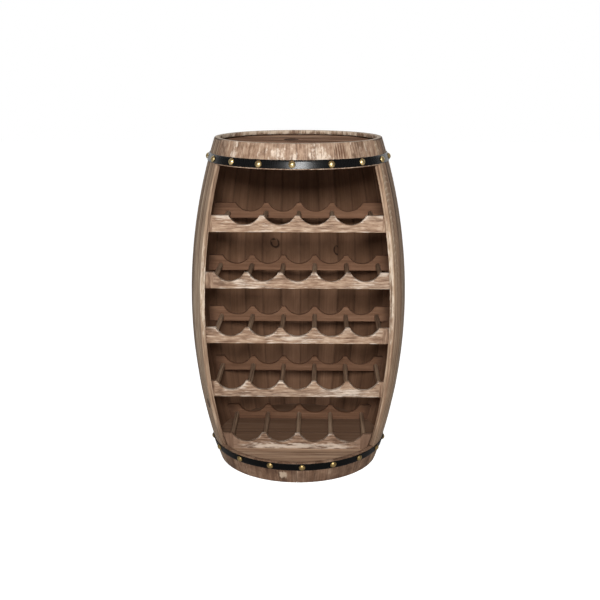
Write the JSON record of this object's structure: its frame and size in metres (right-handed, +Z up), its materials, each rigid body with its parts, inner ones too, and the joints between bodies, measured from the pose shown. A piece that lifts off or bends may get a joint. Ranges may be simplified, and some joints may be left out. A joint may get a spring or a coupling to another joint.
{
  "type": "barrel bottle rack",
  "caption": "Upright wooden barrel with an open front and scalloped racks inside for lying bottles, bound by black hoops with brass nails.",
  "frame": {"origin": "on the barrel's axis, at the level of the floor it stands on", "axes": "+Z up along the barrel's axis, -Y out of the open front, +X to the right of a person facing the opening"},
  "size_m": [0.5246, 0.4823, 0.8],
  "materials": {
    "stave_wood": "brushed, greyed stain",
    "band_wood": "whitewashed and worn",
    "top_wood": "dark stain",
    "floor_wood": "dark stain",
    "front_board_wood": "whitewashed and worn",
    "back_board_wood": "dark stain",
    "rod_wood": "dark stain",
    "strip_wood": "bare, sawn",
    "hoop_steel": "satin black",
    "nail_brass": "antique, polished",
    "screw_steel": "zinc plated"
  },
  "bodies": {
    "root": {"back_cradle_1": "back_board_wood", "back_cradle_2": "back_board_wood", "back_cradle_3": "back_board_wood", "back_cradle_4": "back_board_wood", "back_cradle_5": "back_board_wood", "batten_screws": "screw_steel", "bearer_screws": "screw_steel", "bottom_hoop": "hoop_steel", "bottom_hoop_nails": "nail_brass", "floor_bearer_1": "strip_wood", "floor_bearer_2": "strip_wood", "floor_bearer_3": "strip_wood", "floor_plank_1": "floor_wood", "floor_plank_2": "floor_wood", "floor_plank_3": "floor_wood", "floor_plank_4": "floor_wood", "footer_staves": "band_wood", "front_cradle_1": "front_board_wood", "front_cradle_2": "front_board_wood", "front_cradle_3": "front_board_wood", "front_cradle_4": "front_board_wood", "front_cradle_5": "front_board_wood", "header_staves": "band_wood", "shelf_1_rods": "rod_wood", "shelf_2_rods": "rod_wood", "shelf_3_rods": "rod_wood", "shelf_4_rods": "rod_wood", "shelf_5_rods": "rod_wood", "shelf_brads": "screw_steel", "stave_01": "stave_wood", "stave_02": "stave_wood", "stave_03": "stave_wood", "stave_04": "stave_wood", "stave_05": "stave_wood", "stave_06": "stave_wood", "stave_07": "stave_wood", "stave_08": "stave_wood", "stave_09": "stave_wood", "stave_10": "stave_wood", "stave_11": "stave_wood", "stave_12": "stave_wood", "stave_13": "stave_wood", "stave_14": "stave_wood", "stave_15": "stave_wood", "stave_16": "stave_wood", "stave_17": "stave_wood", "stave_18": "stave_wood", "stave_19": "stave_wood", "stave_20": "stave_wood", "top_batten_1": "strip_wood", "top_batten_2": "strip_wood", "top_hoop": "hoop_steel", "top_hoop_nails": "nail_brass", "top_plank_1": "top_wood", "top_plank_2": "top_wood", "top_plank_3": "top_wood", "top_plank_4": "top_wood"}
  },
  "joints": []
}
